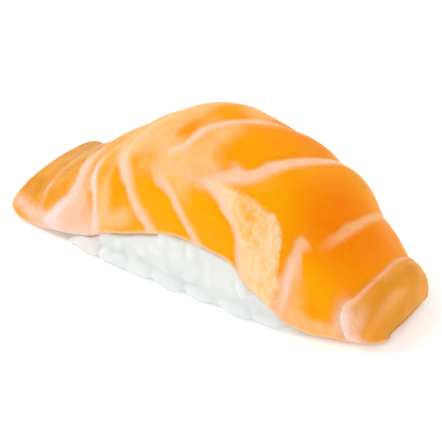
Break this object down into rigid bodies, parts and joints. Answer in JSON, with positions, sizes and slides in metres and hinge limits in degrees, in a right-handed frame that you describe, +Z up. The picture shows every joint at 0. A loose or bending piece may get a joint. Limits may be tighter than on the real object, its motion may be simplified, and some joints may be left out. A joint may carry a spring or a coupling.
{
  "type": "salmon nigiri",
  "caption": "Hand-pressed block of sushi rice with a slice of raw salmon draped over it and down to the table at both ends.",
  "frame": {"origin": "centre of the foot print, on the table under the rice", "axes": "+X along the piece, towards its blunt end where the last flake folds over; +Y away from the side that shows its rice; +Z up"},
  "size_m": [0.0786, 0.0293, 0.0298],
  "materials": {
    "rice": "soft, moist, slightly translucent white grains",
    "salmon": "moist satin, translucent orange with pale lines of fat"
  },
  "bodies": {
    "root": {"rice": "rice", "salmon": "salmon"}
  },
  "joints": []
}
